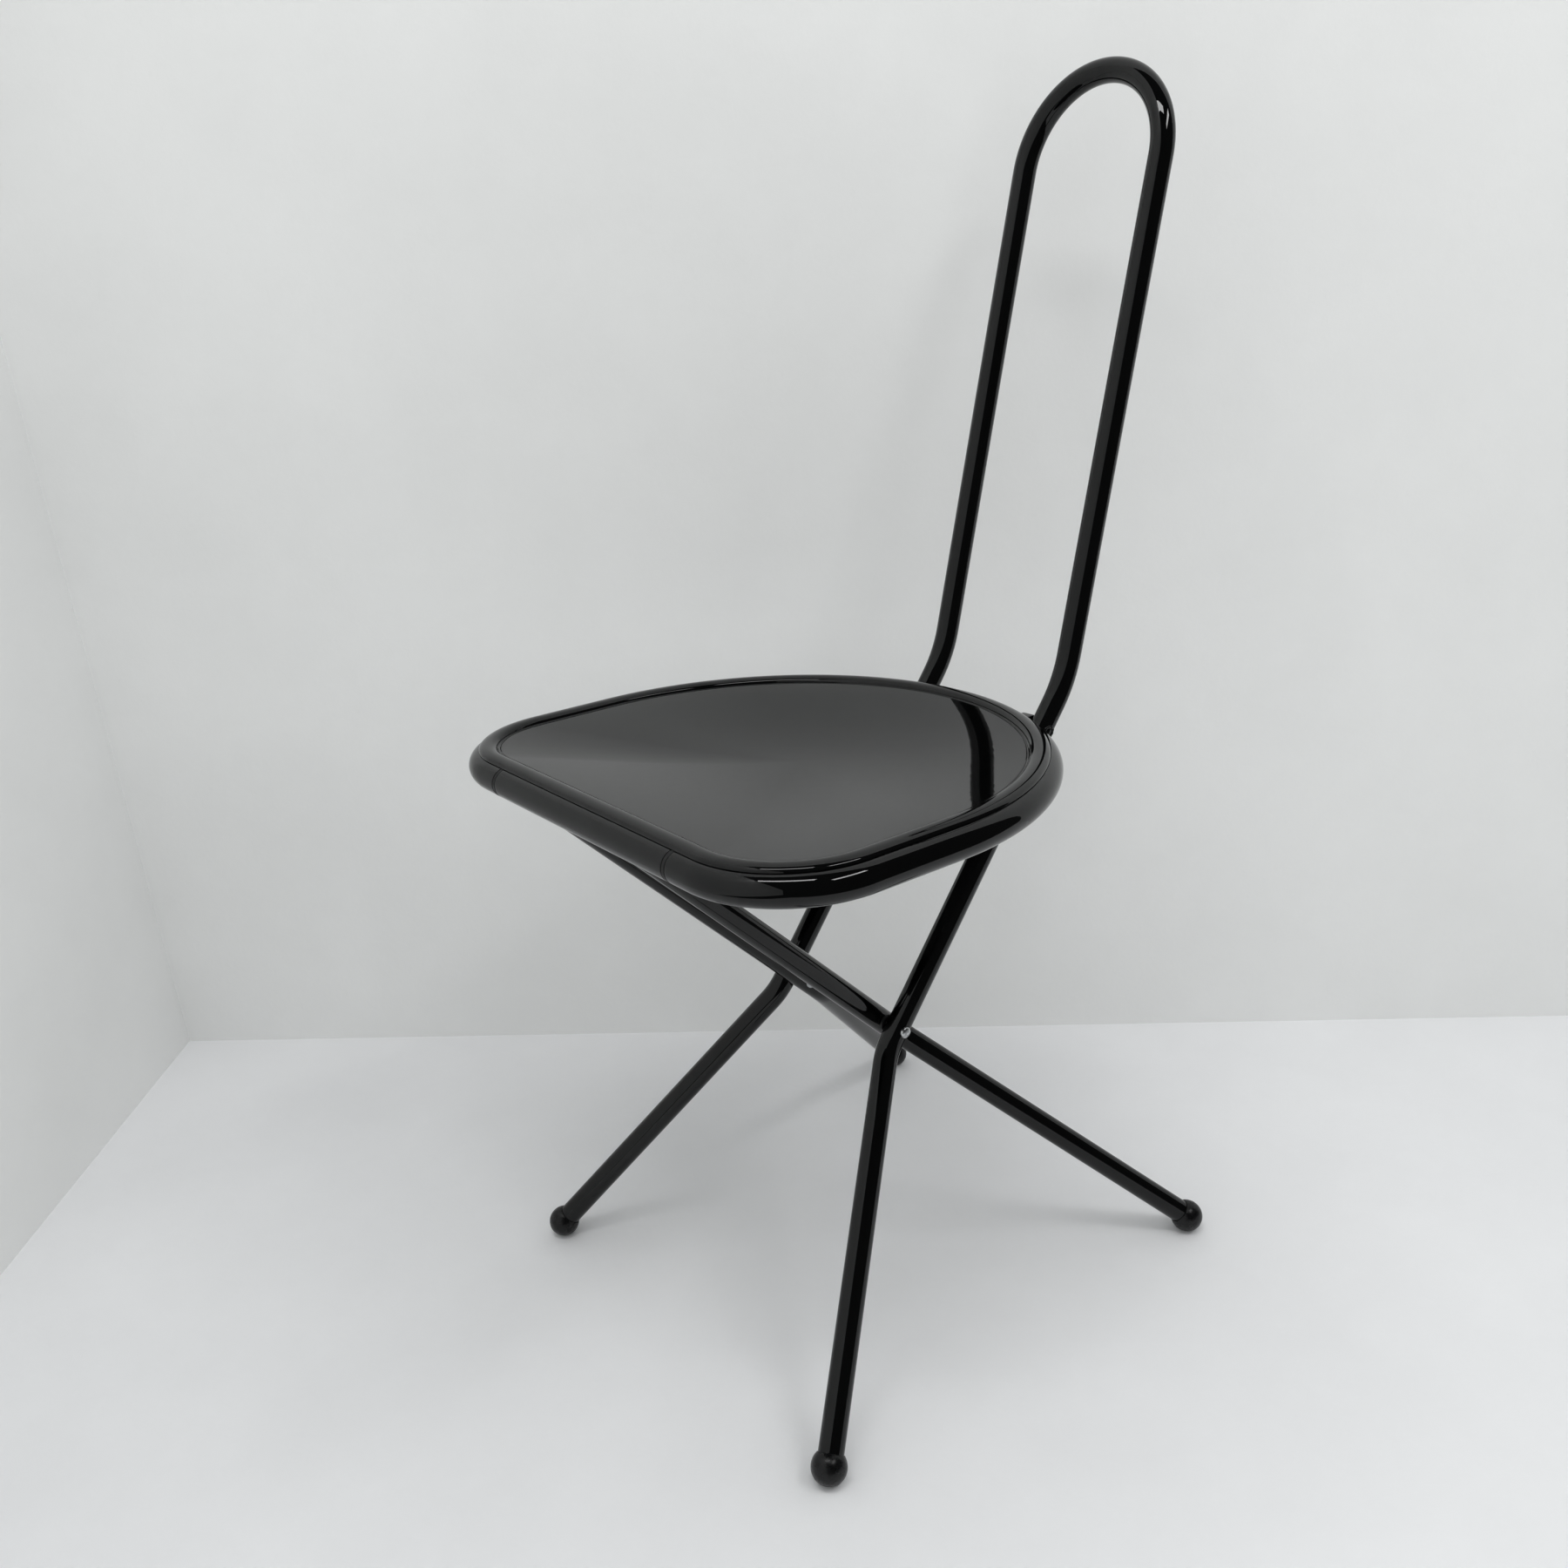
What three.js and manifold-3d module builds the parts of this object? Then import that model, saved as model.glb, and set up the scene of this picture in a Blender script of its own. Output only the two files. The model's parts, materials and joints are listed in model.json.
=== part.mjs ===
// Folding chair of bent steel tube with a pressed steel seat pan.
//
// Millimetres, +Z up. The chair faces -Y, and "left" and "right" are the sitter's own: left is +X.
// The drawing below has its zero on the floor in the middle of the four feet. The finished group is
// moved so that its origin is on the floor under the middle of the chair's whole length.
//
// Three assemblies make the chair:
//   hoop frame      one tube from a front foot up over the back and down to the other front foot
//   rear leg frame  two rear legs welded to the front rail, riveted to the hoop frame where they cross
//   seat            a ring tube with a dished pan, hinged on the ends of the front rail; two hooks
//                   behind the ring lie over a rod between the back tubes and lock the chair open

import * as THREE from 'three';
import { mergeVertices } from 'three/addons/utils/BufferGeometryUtils.js';
import Module from 'manifold-3d';

const wasm = await Module();
wasm.setup();

// ---------------------------------------------------------------- driving dimensions

const GAP = 0.3; // clearance left between pieces that touch or are welded
const TUBE_SIDES = 16;
const BEND_STEP = 12; // degrees of bend between two stations of a tube

const FRAME_RADIUS = 9; // 18 mm tube of the legs and the back
const SEAT_RADIUS = 11; // 22 mm tube of the seat ring and the front rail
const TUBE_WALL = 1.5;

const HINGE_Y = -205; // axis of the front rail, which the seat turns on
const HINGE_Z = 436.5;
const SEAT_TILT = 2.1; // degrees that the seat drops towards the back

const BACK_HALF_SPACING = 66.5; // from the middle of the chair to each back tube's axis
const BACK_KNEE_Y = 181; // where the axes of the back and the front leg meet
const BACK_KNEE_Z = 447.5;
const BACK_LEAN = 17.2; // degrees from upright
const BACK_LENGTH = 448.5; // from the knee to the top of the hoop's axis
const BACK_KNEE_BEND = 100; // bend radii on the tube's axis
const LEG_BEND = 50;

const FRONT_FOOT = { x: 180, y: -188.5 };
const REAR_FOOT = { x: 178.5, y: 188.5 };
const FRONT_SPLAY_START = 18; // below the pivot, along the leg
const REAR_SPLAY_START = 22;

const FOOT_RADIUS = 12.5; // moulded ball
const FOOT_FLAT_DEPTH = 0.5; // cut off the ball where it stands
const FOOT_SOCKET = 6; // ball's centre to the end of the tube
const FOOT_STEM = 30; // ball's centre to the end of the stem inside the tube

const SPACER = 3; // room between the crossing legs for a washer
const WASHER_RADIUS = 7;
const RIVET_RADIUS = 3;
const RIVET_HEAD_RADIUS = 4.4;
const RIVET_HEAD_HEIGHT = 2.4;

const RAIL_HALF_LENGTH = 108;
const BUSH_FLANGE = 3.4;
const BUSH_LENGTH = 25; // inside the rail
const HINGE_PIN_RADIUS = 6;
const HINGE_PLUG_LENGTH = 17;

const RING_HALF_WIDTH = 202.5; // on the tube's axis, and the radius of the round back
const RING_DEPTH = 342.5; // hinge axis to the back of the ring, on the tube's axis
const RING_CORNER = 72;

const PAN_THICKNESS = 1.2;
const PAN_SEAT = 11.2; // height of the bead's foot above the ring's mid plane
const BEAD_HEIGHT = 3.8;
const BEAD_HALF_WIDTH = 7;
const BEAD_MIDDLE = 4.5; // inset of the bead's crown from the tube's axis
const DISH_START = 14; // inset of the dish's edge from the tube's axis
const DISH_EDGE = 0.4; // the dish's edge below the bead's foot
const DISH_DEPTH = 15.5;
const DISH_MIDDLE = 181; // hinge axis to the deepest point
const DISH_EASING = 0.35; // share of fourth power taken off the parabola, which eases the edge

const ROD_RADIUS = 4; // latch rod between the back tubes
const ROD_DROP = 32.5; // below the back's knee
const HOOK_X = 50;
const HOOK_WIDTH = 12;
const HOOK_THICKNESS = 4;
const HOOK_CLEARANCE = 0.5;
const HOOK_STRAP = 22; // rod's centre forward to where the strap runs into the ring
const HOOK_LIP = 2.5; // rod's centre down to the end of the lip
const HOOK_BEND = 4.5; // outside radius of the bend

const TAB_WIDTH = 20;
const TAB_THICKNESS = 2;
const TAB_DROP = 4.2; // pan's underside to the tab's top, square to both
const TAB_INWARD = 10; // stud to the tab's free end
const TAB_OUTWARD = 17; // stud to where the tab runs into the ring
const STUD_INSET = 23; // from the ring's axis
const STUD_RADIUS = 2;
const STUD_BASE_RADIUS = 4;
const STUD_BASE_HEIGHT = 1;
const STUD_LENGTH = 12;
const NUT_RADIUS = 4.04; // across corners of an M4 nut
const NUT_HEIGHT = 3.2;

// ---------------------------------------------------------------- materials

const enamel = { color: 0x0b0c0c, metalness: 0.1, roughness: 0.08 };
const plastic = { color: 0x121314, metalness: 0, roughness: 0.4 };
const zinc = { color: 0xb9bbbb, metalness: 1, roughness: 0.35 };

// ---------------------------------------------------------------- geometry helpers

const X_AXIS = new THREE.Vector3(1, 0, 0);
const Y_AXIS = new THREE.Vector3(0, 1, 0);
const Z_AXIS = new THREE.Vector3(0, 0, 1);
const point = (x, y, z) => new THREE.Vector3(x, y, z);
const withX = (p, x) => point(x, p.y, p.z);
const along = (p, direction, distance) => p.clone().addScaledVector(direction, distance);
const directionTo = (from, to) => to.clone().sub(from).normalize();

// The axis of a bent tube: straights between corners, each corner rounded to its bend radius.
// The stations stand only where the tube needs them, at the ends of the straights and round the bends.
class BentTubeAxis extends THREE.Curve {
  constructor(corners, radii) {
    super();
    const last = corners.length - 1;
    this.stations = [{ at: corners[0], tangent: directionTo(corners[0], corners[1]) }];
    for (let i = 1; i < last; i += 1) {
      this.addBend(corners[i - 1], corners[i], corners[i + 1], radii[i - 1]);
    }
    this.stations.push({ at: corners[last], tangent: directionTo(corners[last - 1], corners[last]) });
  }

  addBend(before, corner, after, radius) {
    const incoming = directionTo(before, corner);
    const outgoing = directionTo(corner, after);
    const angle = incoming.angleTo(outgoing);
    const start = along(corner, incoming, -radius * Math.tan(angle / 2));
    const inward = outgoing.clone().addScaledVector(incoming, -incoming.dot(outgoing)).normalize();
    const steps = Math.max(2, Math.round(THREE.MathUtils.radToDeg(angle) / BEND_STEP));
    const meetsPrevious = start.distanceTo(this.stations.at(-1).at) < 0.01;
    for (let k = meetsPrevious ? 1 : 0; k <= steps; k += 1) {
      const turned = (angle * k) / steps;
      const forward = along(start, incoming, radius * Math.sin(turned));
      const at = along(forward, inward, radius * (1 - Math.cos(turned)));
      const tangent = along(incoming.clone().multiplyScalar(Math.cos(turned)), inward, Math.sin(turned));
      this.stations.push({ at, tangent });
    }
  }

  get steps() {
    return this.stations.length - 1;
  }

  getPointAt(u, target = new THREE.Vector3()) {
    return target.copy(this.stations[Math.round(u * this.steps)].at);
  }

  getTangentAt(u, target = new THREE.Vector3()) {
    return target.copy(this.stations[Math.round(u * this.steps)].tangent);
  }
}

function circle(radius) {
  return new THREE.Shape().absarc(0, 0, radius, 0, 2 * Math.PI, false);
}

// An open-ended tube, or a solid bar where innerRadius is 0.
function tubeGeometry(axis, outerRadius, innerRadius) {
  const section = circle(outerRadius);
  if (innerRadius > 0) {
    section.holes.push(circle(innerRadius));
  }
  return new THREE.ExtrudeGeometry(section, {
    steps: axis.steps,
    extrudePath: axis,
    curveSegments: TUBE_SIDES / 2,
  });
}

function barGeometry(from, to, radius) {
  return tubeGeometry(new BentTubeAxis([from, to], []), radius, 0);
}

function toSolid(geometry) {
  const bare = geometry.clone();
  bare.deleteAttribute('normal');
  bare.deleteAttribute('uv');
  const merged = mergeVertices(bare, 1e-4);
  return new wasm.Manifold(
    new wasm.Mesh({
      numProp: 3,
      vertProperties: new Float32Array(merged.attributes.position.array),
      triVerts: new Uint32Array(merged.index.array),
    }),
  );
}

// The geometry left when every cutter is taken from the blank.
function cut(blank, ...cutters) {
  let solid = toSolid(blank);
  for (const cutter of cutters) {
    solid = solid.subtract(toSolid(cutter));
  }
  const mesh = solid.getMesh();
  const geometry = new THREE.BufferGeometry();
  geometry.setAttribute('position', new THREE.BufferAttribute(mesh.vertProperties, 3));
  geometry.setIndex(new THREE.BufferAttribute(mesh.triVerts, 1));
  geometry.computeVertexNormals();
  return geometry;
}

// A turned piece about local Y. The outline is [radius, height] pairs, lowest first.
function turned(outline, sides = 24) {
  return new THREE.LatheGeometry(outline.map(([radius, height]) => new THREE.Vector2(radius, height)), sides);
}

function piece(name, geometry, finish, parent, position, quaternion) {
  const mesh = new THREE.Mesh(geometry, new THREE.MeshStandardMaterial(finish));
  mesh.name = name;
  if (position) {
    mesh.position.copy(position);
  }
  if (quaternion) {
    mesh.quaternion.copy(quaternion);
  }
  parent.add(mesh);
  return mesh;
}

const turnedOnto = (direction) => new THREE.Quaternion().setFromUnitVectors(Y_AXIS, direction);
const SIDES = [
  ['left', 1],
  ['right', -1],
];

// ---------------------------------------------------------------- layout in the side plane

const hinge = point(0, HINGE_Y, HINGE_Z);
const knee = point(0, BACK_KNEE_Y, BACK_KNEE_Z);
const footHeight = FOOT_RADIUS - FOOT_FLAT_DEPTH;
const frontFoot = point(0, FRONT_FOOT.y, footHeight);
const rearFoot = point(0, REAR_FOOT.y, footHeight);
const frontLegDown = directionTo(knee, frontFoot);
const rearLegDown = directionTo(hinge, rearFoot);

// The rivets stand where the two straight legs cross.
const across = hinge.clone().sub(knee).cross(rearLegDown).x / frontLegDown.clone().cross(rearLegDown).x;
const pivot = along(knee, frontLegDown, across);
const rearHalfSpacing = BACK_HALF_SPACING - 2 * FRAME_RADIUS - SPACER;

const lean = THREE.MathUtils.degToRad(BACK_LEAN);
const hoopTop = along(knee, point(0, Math.sin(lean), Math.cos(lean)), BACK_LENGTH);
const rodCentre = along(knee, frontLegDown, ROD_DROP / -frontLegDown.z);

const chair = new THREE.Group();

// ---------------------------------------------------------------- feet

// A ball with a socket for the end of the tube and a stem inside the tube, flat where it stands.
function addFoot(name, centre, towardsTube) {
  const socketRadius = FRAME_RADIUS + GAP;
  const stemRadius = FRAME_RADIUS - TUBE_WALL - GAP;
  const socketBottom = FOOT_SOCKET - GAP;
  const rim = Math.asin(socketRadius / FOOT_RADIUS);
  const ballSteps = 9;
  const outline = [];
  for (let k = 0; k <= ballSteps; k += 1) {
    const angle = ((Math.PI - rim) * k) / ballSteps;
    outline.push([FOOT_RADIUS * Math.sin(angle), -FOOT_RADIUS * Math.cos(angle)]);
  }
  outline[0][0] = 0;
  outline.push([socketRadius, socketBottom], [stemRadius, socketBottom]);
  outline.push([stemRadius, FOOT_STEM], [0, FOOT_STEM]);
  const ball = turned(outline, 20).applyQuaternion(turnedOnto(towardsTube));
  const ground = new THREE.BoxGeometry(4 * FOOT_RADIUS, 4 * FOOT_RADIUS, 4 * FOOT_RADIUS);
  ground.translate(0, 0, -footHeight - 2 * FOOT_RADIUS);
  piece(name, cut(ball, ground), plastic, chair, centre);
}

// ---------------------------------------------------------------- hoop frame

function splayStart(down, distance, x) {
  return withX(along(pivot, down, distance), x);
}

function pivotHole(x) {
  const reach = FRAME_RADIUS + 1;
  return barGeometry(withX(pivot, x - reach), withX(pivot, x + reach), RIVET_RADIUS + GAP);
}

function addHoopFrame() {
  const legCorners = (x) => {
    const sideways = Math.sign(x);
    const splay = splayStart(frontLegDown, FRONT_SPLAY_START, x);
    const foot = withX(frontFoot, sideways * FRONT_FOOT.x);
    const end = along(foot, directionTo(foot, splay), FOOT_SOCKET);
    return [end, splay, withX(knee, x), withX(hoopTop, x)];
  };
  const left = legCorners(BACK_HALF_SPACING);
  const right = legCorners(-BACK_HALF_SPACING);
  const bends = [LEG_BEND, BACK_KNEE_BEND, BACK_HALF_SPACING];
  const axis = new BentTubeAxis([...left, ...right.toReversed()], [...bends, ...bends.toReversed()]);
  const tube = tubeGeometry(axis, FRAME_RADIUS, FRAME_RADIUS - TUBE_WALL);
  const drilled = cut(tube, pivotHole(BACK_HALF_SPACING), pivotHole(-BACK_HALF_SPACING));
  piece('hoop_frame_tube', drilled, enamel, chair);

  for (const [side, sign] of SIDES) {
    const corners = sign > 0 ? left : right;
    const foot = withX(frontFoot, sign * FRONT_FOOT.x);
    addFoot(`front_foot_${side}`, foot, directionTo(corners[0], corners[1]));
  }
}

// The rod's ends are shaped to the back tubes that they are welded to.
function addLatchRod() {
  const ends = [-BACK_HALF_SPACING, BACK_HALF_SPACING].map((x) => withX(rodCentre, x));
  const rod = barGeometry(...ends, ROD_RADIUS);
  const backTubes = SIDES.map(([, sign]) => {
    const middle = withX(rodCentre, sign * BACK_HALF_SPACING);
    const above = along(middle, frontLegDown, -4 * ROD_RADIUS);
    const below = along(middle, frontLegDown, 4 * ROD_RADIUS);
    return barGeometry(above, below, FRAME_RADIUS + GAP);
  });
  piece('latch_rod', cut(rod, ...backTubes), enamel, chair);
}

// ---------------------------------------------------------------- pivots

function addPivots() {
  const outerFace = BACK_HALF_SPACING + FRAME_RADIUS + GAP;
  const innerFace = rearHalfSpacing - FRAME_RADIUS - GAP;
  const domeSteps = 5;
  const dome = (from, growing) => {
    const points = [];
    for (let k = 0; k <= domeSteps; k += 1) {
      const angle = (Math.PI / 2) * (k / domeSteps);
      const radius = k === domeSteps ? 0 : RIVET_HEAD_RADIUS * Math.cos(angle);
      points.push([radius, from + growing * RIVET_HEAD_HEIGHT * Math.sin(angle)]);
    }
    return points;
  };
  const outline = [
    ...dome(innerFace, -1).toReversed(),
    [RIVET_RADIUS, innerFace],
    [RIVET_RADIUS, outerFace],
    ...dome(outerFace, 1),
  ];
  const middle = BACK_HALF_SPACING - FRAME_RADIUS - SPACER / 2;
  const halfThickness = SPACER / 2 - GAP;
  const hole = RIVET_RADIUS + GAP;
  const washer = [
    [hole, -halfThickness],
    [WASHER_RADIUS, -halfThickness],
    [WASHER_RADIUS, halfThickness],
    [hole, halfThickness],
    [hole, -halfThickness],
  ];
  for (const [side, sign] of SIDES) {
    const outward = turnedOnto(point(sign, 0, 0));
    piece(`pivot_rivet_${side}`, turned(outline, 16), zinc, chair, pivot, outward);
    piece(`pivot_washer_${side}`, turned(washer, 20), plastic, chair, withX(pivot, sign * middle), outward);
  }
}

// ---------------------------------------------------------------- rear leg frame

function addRearLegFrame() {
  const railEnd = (sign) => withX(hinge, sign * RAIL_HALF_LENGTH);
  const railAxis = new BentTubeAxis([railEnd(-1), railEnd(1)], []);
  piece('front_rail_tube', tubeGeometry(railAxis, SEAT_RADIUS, SEAT_RADIUS - TUBE_WALL), enamel, chair);

  const saddle = barGeometry(railEnd(-1), railEnd(1), SEAT_RADIUS + GAP);
  for (const [side, sign] of SIDES) {
    const x = sign * rearHalfSpacing;
    const splay = splayStart(rearLegDown, REAR_SPLAY_START, x);
    const foot = withX(rearFoot, sign * REAR_FOOT.x);
    const end = along(foot, directionTo(foot, splay), FOOT_SOCKET);
    const axis = new BentTubeAxis([withX(hinge, x), splay, end], [LEG_BEND]);
    const tube = tubeGeometry(axis, FRAME_RADIUS, FRAME_RADIUS - TUBE_WALL);
    piece(`rear_leg_${side}`, cut(tube, saddle, pivotHole(x)), enamel, chair);
    addFoot(`rear_foot_${side}`, foot, directionTo(end, splay));
  }
}

// ---------------------------------------------------------------- seat hinge

// A flanged bush sits in each end of the rail, and a pin in each end of the ring turns in it.
function addSeatHinge(seat) {
  const bore = SEAT_RADIUS - TUBE_WALL - GAP;
  const flangeStart = RAIL_HALF_LENGTH + GAP;
  const flangeEnd = flangeStart + BUSH_FLANGE;
  const pinHole = HINGE_PIN_RADIUS + GAP;
  const bush = [
    [pinHole, flangeStart - BUSH_LENGTH],
    [bore, flangeStart - BUSH_LENGTH],
    [bore, flangeStart],
    [SEAT_RADIUS, flangeStart],
    [SEAT_RADIUS, flangeEnd],
    [pinHole, flangeEnd],
    [pinHole, flangeStart - BUSH_LENGTH],
  ];
  const plugStart = flangeEnd + GAP;
  const pin = [
    [0, flangeStart - BUSH_LENGTH + 2],
    [HINGE_PIN_RADIUS, flangeStart - BUSH_LENGTH + 2],
    [HINGE_PIN_RADIUS, plugStart],
    [bore, plugStart],
    [bore, plugStart + HINGE_PLUG_LENGTH],
    [0, plugStart + HINGE_PLUG_LENGTH],
  ];
  for (const [side, sign] of SIDES) {
    const outward = turnedOnto(point(sign, 0, 0));
    piece(`hinge_bush_${side}`, turned(bush), plastic, chair, hinge, outward);
    piece(`hinge_pin_${side}`, turned(pin, 20), zinc, seat, null, outward);
  }
}

// ---------------------------------------------------------------- seat, in the ring's own plane

// Local X is the chair's, local Y runs back from the hinge axis and local Z is square to the ring.
const ringEnd = RAIL_HALF_LENGTH + BUSH_FLANGE + 2 * GAP;
const ringAxis = new BentTubeAxis(
  [
    point(ringEnd, 0, 0),
    point(RING_HALF_WIDTH, 0, 0),
    point(RING_HALF_WIDTH, RING_DEPTH, 0),
    point(-RING_HALF_WIDTH, RING_DEPTH, 0),
    point(-RING_HALF_WIDTH, 0, 0),
    point(-ringEnd, 0, 0),
  ],
  [RING_CORNER, RING_HALF_WIDTH, RING_HALF_WIDTH, RING_CORNER],
);

function addRing(seat) {
  piece('seat_ring_tube', tubeGeometry(ringAxis, SEAT_RADIUS, SEAT_RADIUS - TUBE_WALL), enamel, seat);
}

// Points round the ring's axis moved inwards by the inset, counter-clockwise seen from above.
function insetOutline(inset, height) {
  return ringAxis.stations.slice(1, -1).map(({ at, tangent }) => {
    const inward = Z_AXIS.clone().cross(tangent);
    return along(at, inward, inset).setZ(height);
  });
}

// The dish rises from its middle, where the scale is 0, to its edge, where it is 1.
const dishCentre = point(0, DISH_MIDDLE, 0);
function dishPoint(edge, scale, drop) {
  const risen = (1 + DISH_EASING) * scale ** 2 - DISH_EASING * scale ** 4;
  const height = PAN_SEAT - DISH_EDGE - DISH_DEPTH * (1 - risen);
  return edge.clone().lerp(dishCentre, 1 - scale).setZ(height - drop);
}

// One sheet, pressed to a bead that stands on the ring, a groove inside it and a dish.
function addPan(seat) {
  const dishRows = [0.2, 0.4, 0.6, 0.8, 0.9, 1];
  const dishLoop = (scale, drop) => insetOutline(DISH_START, 0).map((edge) => dishPoint(edge, scale, drop));
  const beadSteps = 7;
  const beadRow = (k, thickness) => {
    const angle = (Math.PI * k) / beadSteps;
    const inset = BEAD_MIDDLE + (BEAD_HALF_WIDTH - thickness) * Math.cos(angle);
    return insetOutline(inset, PAN_SEAT + (BEAD_HEIGHT - thickness) * Math.sin(angle));
  };
  const top = dishRows.map((scale) => dishLoop(scale, 0));
  const bottom = dishRows.map((scale) => dishLoop(scale, PAN_THICKNESS));
  const beadTop = [];
  const beadUnder = [];
  for (let k = 0; k <= beadSteps; k += 1) {
    beadTop.push(beadRow(k, 0));
    beadUnder.push(beadRow(k, PAN_THICKNESS));
  }
  const loops = [...top, ...beadTop, ...beadUnder.toReversed(), ...bottom.toReversed()];
  const topPole = dishPoint(dishCentre, 0, 0);
  const bottomPole = dishPoint(dishCentre, 0, PAN_THICKNESS);
  return piece('seat_pan', shellGeometry(loops, topPole, bottomPole), enamel, seat);
}

// A closed skin over a stack of equal loops, ended by a point at each end.
function shellGeometry(loops, firstPole, lastPole) {
  const count = loops[0].length;
  const vertices = [firstPole, ...loops.flat(), lastPole];
  const lastIndex = vertices.length - 1;
  const at = (row, k) => 1 + row * count + (k % count);
  const faces = [];
  for (let k = 0; k < count; k += 1) {
    faces.push(0, at(0, k), at(0, k + 1));
    for (let row = 0; row < loops.length - 1; row += 1) {
      faces.push(at(row, k), at(row + 1, k), at(row + 1, k + 1));
      faces.push(at(row, k), at(row + 1, k + 1), at(row, k + 1));
    }
    faces.push(lastIndex, at(loops.length - 1, k + 1), at(loops.length - 1, k));
  }
  const geometry = new THREE.BufferGeometry().setFromPoints(vertices);
  geometry.setIndex(faces);
  geometry.computeVertexNormals();
  return geometry;
}

// A strap welded behind the ring that lies over the latch rod, with a lip turned down behind the rod.
function addLatchHooks(seat) {
  const rod = seat.worldToLocal(rodCentre.clone());
  const inner = ROD_RADIUS + HOOK_CLEARANCE;
  const outer = inner + HOOK_THICKNESS;
  const profile = new THREE.Shape();
  profile.moveTo(rod.y - HOOK_STRAP, rod.z + inner);
  profile.lineTo(rod.y + inner, rod.z + inner);
  profile.lineTo(rod.y + inner, rod.z - HOOK_LIP);
  profile.lineTo(rod.y + outer, rod.z - HOOK_LIP);
  profile.absarc(rod.y + outer - HOOK_BEND, rod.z + outer - HOOK_BEND, HOOK_BEND, 0, Math.PI / 2, false);
  profile.lineTo(rod.y - HOOK_STRAP, rod.z + outer);
  profile.closePath();
  const extrusion = { depth: HOOK_WIDTH, bevelEnabled: false, curveSegments: 10 };
  const strap = new THREE.ExtrudeGeometry(profile, extrusion);
  strap.translate(0, 0, -HOOK_WIDTH / 2);
  strap.applyMatrix4(new THREE.Matrix4().makeBasis(Y_AXIS, Z_AXIS, X_AXIS));
  const ringBar = tubeGeometry(ringAxis, SEAT_RADIUS + GAP, 0);
  for (const [side, sign] of SIDES) {
    const placed = strap.clone().translate(sign * HOOK_X, 0, 0);
    piece(`latch_hook_${side}`, cut(placed, ringBar), enamel, seat);
  }
}

// Studs welded square to the pan's sloping side pass through tabs welded to the ring, and nuts hold them.
// Each set is drawn about the stud's foot, X towards the ring and Y square to the pan, then stood there.
function addPanFixings(seat, pan) {
  const sideY = RING_CORNER + 20;
  const rearAngle = THREE.MathUtils.degToRad(62);
  const rearX = RING_HALF_WIDTH * Math.cos(rearAngle);
  const rearY = RING_DEPTH - RING_HALF_WIDTH * (1 - Math.sin(rearAngle));
  const places = [
    ['side_left', point(RING_HALF_WIDTH, sideY, 0), 0],
    ['rear_left', point(rearX, rearY, 0), rearAngle],
    ['rear_right', point(-rearX, rearY, 0), Math.PI - rearAngle],
    ['side_right', point(-RING_HALF_WIDTH, sideY, 0), Math.PI],
  ];
  const ringBar = tubeGeometry(ringAxis, SEAT_RADIUS + GAP, 0);
  const baseBottom = -GAP - STUD_BASE_HEIGHT;
  const stud = [
    [0, -STUD_LENGTH],
    [STUD_RADIUS, -STUD_LENGTH],
    [STUD_RADIUS, baseBottom],
    [STUD_BASE_RADIUS, baseBottom],
    [STUD_BASE_RADIUS, -GAP],
    [0, -GAP],
  ];
  const nutTop = -TAB_DROP - TAB_THICKNESS - GAP;
  const bore = STUD_RADIUS + GAP;
  for (const [place, onRing, outwardAngle] of places) {
    const outward = point(Math.cos(outwardAngle), Math.sin(outwardAngle), 0);
    const below = along(onRing, outward, -STUD_INSET).setZ(-100);
    const [foot] = new THREE.Raycaster(below, Z_AXIS).intersectObject(pan);
    const squareToPan = foot.face.normal.clone().negate();
    const alongTab = outward.projectOnPlane(squareToPan).normalize();
    const acrossTab = alongTab.clone().cross(squareToPan);
    const leant = new THREE.Matrix4().makeBasis(alongTab, squareToPan, acrossTab).setPosition(foot.point);
    const hole = barGeometry(point(0, nutTop - 1, 0), point(0, -TAB_DROP + 1, 0), bore).applyMatrix4(leant);
    const tab = new THREE.BoxGeometry(TAB_INWARD + TAB_OUTWARD, TAB_THICKNESS, TAB_WIDTH);
    tab.translate((TAB_OUTWARD - TAB_INWARD) / 2, -TAB_DROP - TAB_THICKNESS / 2, 0).applyMatrix4(leant);
    piece(`pan_tab_${place}`, cut(tab, ringBar, hole), enamel, seat);
    piece(`pan_stud_${place}`, turned(stud, 16).applyMatrix4(leant), zinc, seat);
    const nut = new THREE.CylinderGeometry(NUT_RADIUS, NUT_RADIUS, NUT_HEIGHT, 6);
    nut.translate(0, nutTop - NUT_HEIGHT / 2, 0).applyMatrix4(leant);
    const thread = barGeometry(point(0, nutTop - NUT_HEIGHT - 1, 0), point(0, nutTop + 1, 0), bore);
    piece(`pan_nut_${place}`, cut(nut, thread.applyMatrix4(leant)), zinc, seat);
  }
}

// ---------------------------------------------------------------- assembly

addHoopFrame();
addLatchRod();
addPivots();
addRearLegFrame();

const seat = new THREE.Group();
seat.position.copy(hinge);
seat.rotation.x = -THREE.MathUtils.degToRad(SEAT_TILT);
chair.add(seat);
chair.updateMatrixWorld(true);
addSeatHinge(seat);
addRing(seat);
addLatchHooks(seat);
addPanFixings(seat, addPan(seat));

const length = new THREE.Box3().setFromObject(chair);
chair.position.y = -(length.min.y + length.max.y) / 2;

export default chair;
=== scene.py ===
"""Folding chair of bent steel tube with a pressed steel seat pan, all in gloss black enamel.

Metres, +Z up, in the CAD model's own frame. The chair faces -Y; left is +X, the sitter's own left.
The pieces follow the order in which the chair is put together: hoop frame, rear leg frame, seat.
"""

import json

import bpy
import numpy as np
from mathutils import Matrix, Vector
from mathutils.bvhtree import BVHTree


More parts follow.
